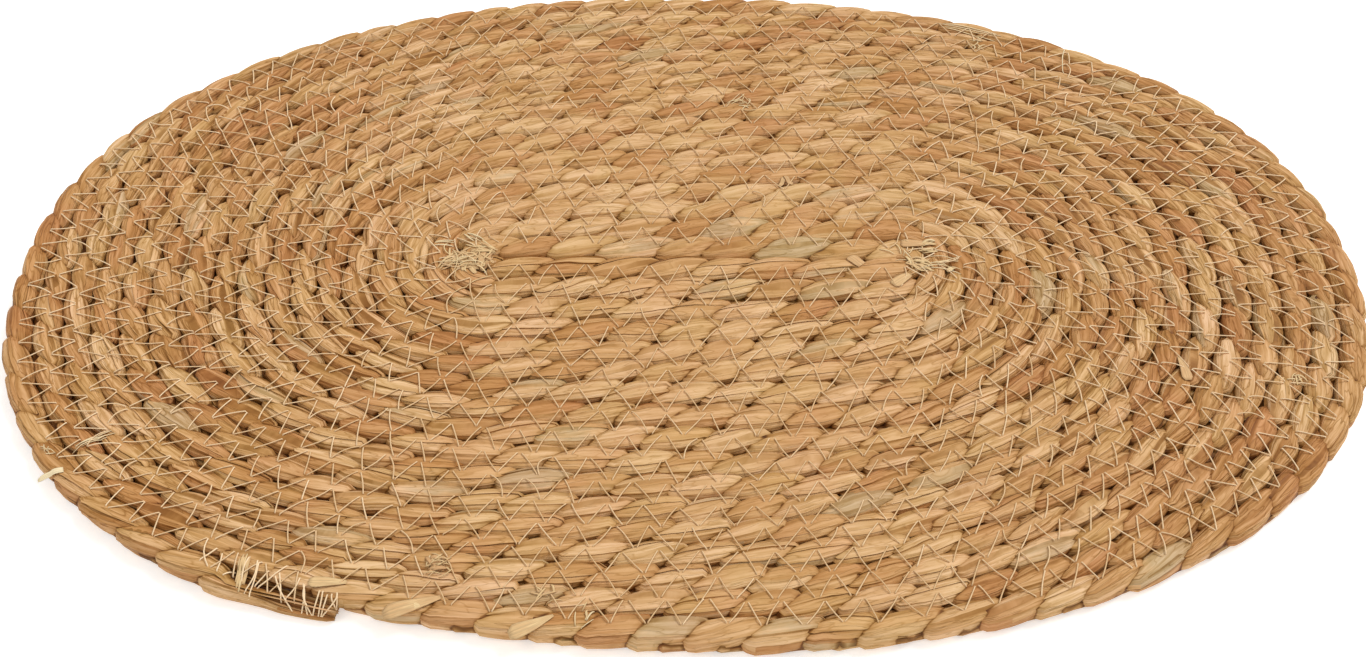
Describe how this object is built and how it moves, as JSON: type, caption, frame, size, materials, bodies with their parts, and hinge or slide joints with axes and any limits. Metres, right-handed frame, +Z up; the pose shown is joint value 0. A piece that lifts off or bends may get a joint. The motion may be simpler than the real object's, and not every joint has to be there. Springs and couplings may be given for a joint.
{
  "type": "placemat",
  "caption": "Oval placemat of one long three-strand plait of dried rush, wound flat around a straight core and sewn turn to turn with zigzag thread.",
  "frame": {"origin": "centre of the mat's box, on the surface it lies on", "axes": "+X along the oval, +Y across it away from the viewer, +Z up"},
  "size_m": [0.4788, 0.3312, 0.0084],
  "materials": {
    "rush": "matte dried rush leaves, golden tan with straw, orange-brown and grey strands",
    "thread": "thin matte straw-coloured sewing thread, in the visual model only"
  },
  "bodies": {
    "root": {"coiled_plait": "rush"}
  },
  "joints": []
}
